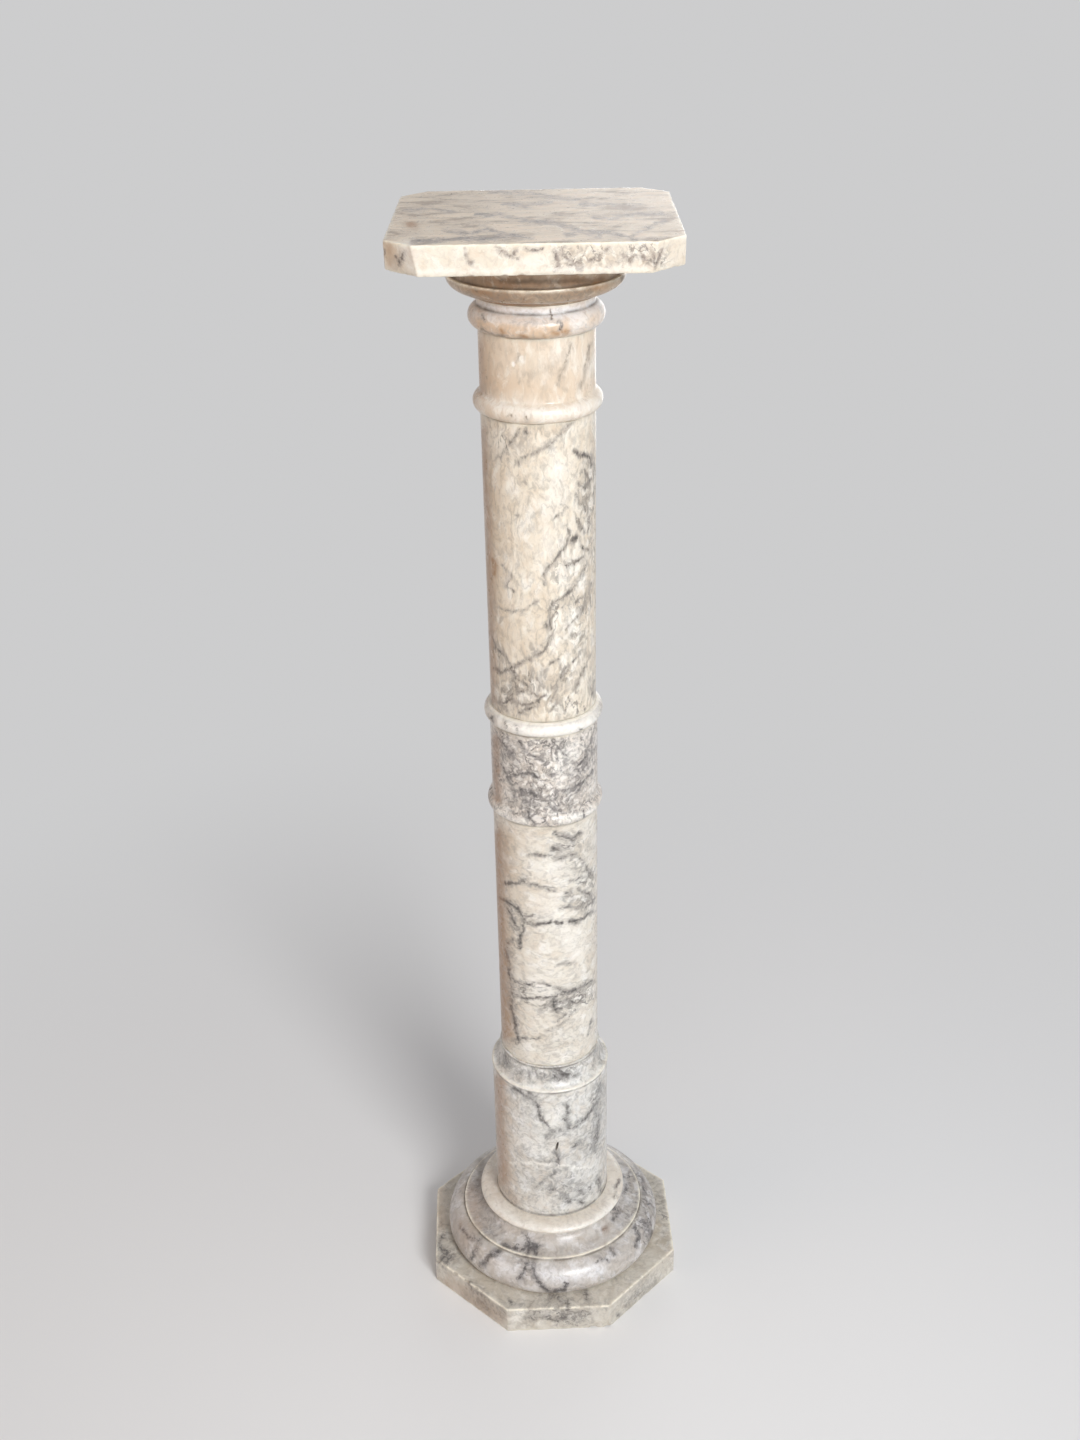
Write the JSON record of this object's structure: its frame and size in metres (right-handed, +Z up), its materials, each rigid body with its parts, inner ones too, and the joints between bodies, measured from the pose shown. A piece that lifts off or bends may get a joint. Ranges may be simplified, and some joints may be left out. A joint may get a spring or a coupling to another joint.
{
  "type": "stone pedestal column",
  "caption": "Slender turned stone pedestal column with an octagonal plinth, moulded base, ringed shaft and a cut-cornered square top plate.",
  "frame": {"origin": "middle of the plinth's underside, on the column's axis", "axes": "+Z up along the column's axis, -Y the front seen in the picture, X along the front flat of the plinth"},
  "size_m": [0.229, 0.229, 0.99],
  "materials": {
    "base_stone": "polished grey-lilac veined marble, worn arrises",
    "drum_stone": "polished pale grey marble with diagonal grey veins",
    "shaft_stone": "polished cream marble with soft grey veins",
    "capital_stone": "polished pink-cream marble, stained in the hollows",
    "plate_stone": "polished cream marble with streaky grey-brown veins",
    "dowel_metal": "plain dull rod, hidden inside the stones"
  },
  "bodies": {
    "root": {"plinth": "base_stone", "base_moulding": "base_stone", "foot_ring": "base_stone", "lower_drum": "drum_stone", "lower_shaft": "shaft_stone", "middle_drum": "drum_stone", "middle_ring": "drum_stone", "upper_shaft": "shaft_stone", "neck_drum": "shaft_stone", "collar": "capital_stone", "capital": "capital_stone", "top_plate": "plate_stone", "plinth_dowel": "dowel_metal", "foot_dowel": "dowel_metal", "drum_dowel": "dowel_metal", "shaft_dowel": "dowel_metal", "middle_dowel": "dowel_metal", "neck_dowel": "dowel_metal", "collar_dowel": "dowel_metal", "plate_dowel": "dowel_metal"}
  },
  "joints": []
}
